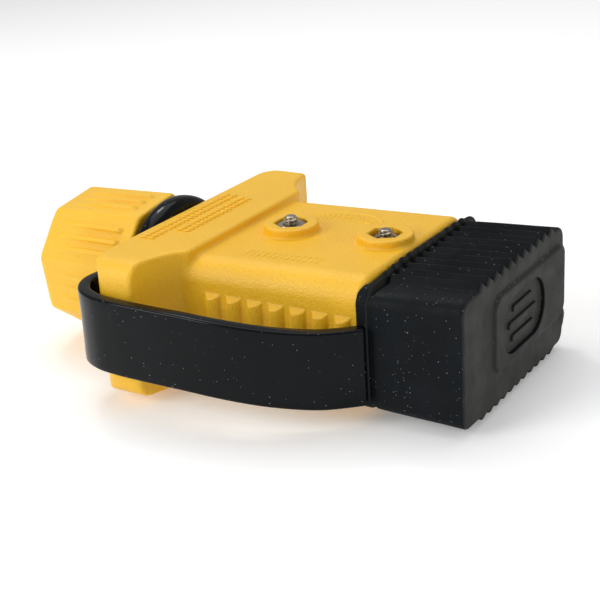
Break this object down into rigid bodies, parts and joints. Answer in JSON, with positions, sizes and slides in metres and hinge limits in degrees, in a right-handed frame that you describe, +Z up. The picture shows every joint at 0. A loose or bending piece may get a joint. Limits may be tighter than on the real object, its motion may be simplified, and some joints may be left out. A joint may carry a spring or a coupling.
{
  "type": "trailer power connector plug",
  "caption": "Two-pole cable-mount power plug in a two-shell housing with pull wing, strapped rubber dust cap and cable gland.",
  "frame": {"origin": "middle of the flat underside of the pull wing, 14.6 mm below the plug's axis; the collar and the gland nut reach 2 mm below this plane", "axes": "+X towards the mating end and the dust cap, +Z up and out of the face with the nut pockets, +Y away from the strap"},
  "size_m": [0.1095, 0.0705, 0.0332],
  "materials": {
    "yellow_nylon": "fine spark-eroded satin, moulded nylon",
    "grey_plastic": "satin moulded polycarbonate",
    "silver_plate": "silver-plated copper",
    "spring_steel": "bright stainless strip",
    "cap_rubber": "matt moulded rubber with mould dust",
    "strap_rubber": "semi-gloss moulded rubber",
    "black_plastic": "satin moulded nylon",
    "seal_rubber": "matt rubber",
    "stainless_steel": "plain stainless"
  },
  "bodies": {
    "root": {"upper_shell": "yellow_nylon", "lower_shell": "yellow_nylon", "connector_housing": "grey_plastic", "contact_spring_positive": "spring_steel", "contact_spring_negative": "spring_steel", "cap_strap": "strap_rubber", "strap_collar": "strap_rubber", "gland_body": "black_plastic", "gland_claw": "black_plastic", "gland_seal": "seal_rubber", "gland_o_ring": "seal_rubber", "screw_front": "stainless_steel", "screw_rear": "stainless_steel", "nut_front": "stainless_steel", "nut_rear": "stainless_steel", "spring_washer_front": "stainless_steel", "spring_washer_rear": "stainless_steel"},
    "cap": {"dust_cap": "cap_rubber"},
    "thrust": {"thrust_ring": "black_plastic"},
    "nut": {"gland_nut": "yellow_nylon"},
    "positive": {"contact_positive": "silver_plate"},
    "negative": {"contact_negative": "silver_plate"}
  },
  "joints": [
    {"name": "cap_pull", "type": "slide", "parent": "root", "child": "cap", "axis": [1, 0, 0], "range_m": [0, 0.017], "deforming": ["cap_strap"]},
    {"name": "thrust_travel", "type": "slide", "parent": "root", "child": "thrust", "axis": [-1, 0, 0], "range_m": [0, 0.004]},
    {"name": "nut_turn", "type": "hinge", "parent": "thrust", "child": "nut", "pos_m": [-0.026, 0, 0.0146], "axis": [-1, 0, 0], "range_deg": [0, 720]},
    {"name": "positive_float", "type": "slide", "parent": "root", "child": "positive", "axis": [0, 0, -1], "range_m": [0, 0.0005], "stiffness_N_per_m": 2500, "springref_m": -0.0004, "deforming": ["contact_spring_positive"]},
    {"name": "negative_float", "type": "slide", "parent": "root", "child": "negative", "axis": [0, 0, -1], "range_m": [0, 0.0005], "stiffness_N_per_m": 2500, "springref_m": -0.0004, "deforming": ["contact_spring_negative"]}
  ],
  "couplings": [
    {"joint": "thrust_travel", "follows": "nut_turn", "m_per_rad": 0.00031831}
  ]
}
